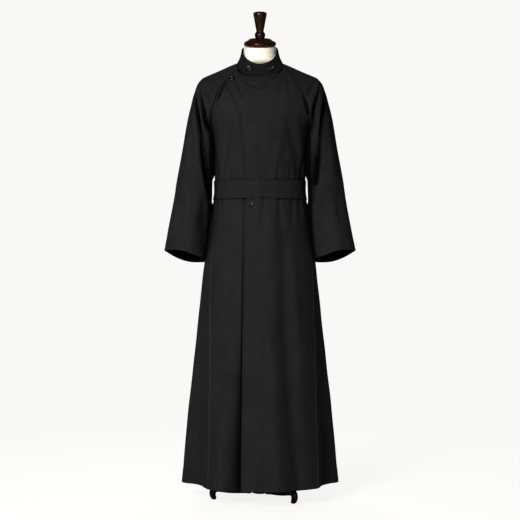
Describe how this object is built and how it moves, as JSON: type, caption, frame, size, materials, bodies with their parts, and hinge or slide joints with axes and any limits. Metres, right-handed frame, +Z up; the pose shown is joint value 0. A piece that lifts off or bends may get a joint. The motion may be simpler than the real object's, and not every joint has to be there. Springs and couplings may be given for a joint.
{
  "type": "cassock on a limbless dress form",
  "caption": "Full-length black double-breasted cassock with raglan sleeves, a stand collar and a cincture, worn by a limbless dress form on a small tripod stand.",
  "frame": {"origin": "on the floor under the stand's pole, at the middle of the bounding box's base", "axes": "+X is the wearer's left, +Y the back and +Z up, so the garment's front faces -Y"},
  "size_m": [0.668, 0.4782, 1.6972],
  "materials": {
    "twill": "matte fine wool twill with a faint sheen",
    "button": "glossy black",
    "jersey": "matte cream cotton jersey, stretched smooth",
    "wood": "dark stained and satin varnished"
  },
  "bodies": {
    "root": {"front_overlap": "twill", "front_underlap": "twill", "back_panel": "twill", "side_gore_left": "twill", "side_gore_right": "twill", "sleeve_left": "twill", "sleeve_right": "twill", "collar": "twill", "cincture": "twill", "button_collar_right": "button", "button_collar_left": "button", "button_shoulder": "button", "button_waist": "button", "form_torso": "jersey", "neck_cap": "wood", "finial": "wood", "pole": "wood", "tripod_hub": "wood", "leg_1": "wood", "leg_2": "wood", "leg_3": "wood"}
  },
  "joints": []
}
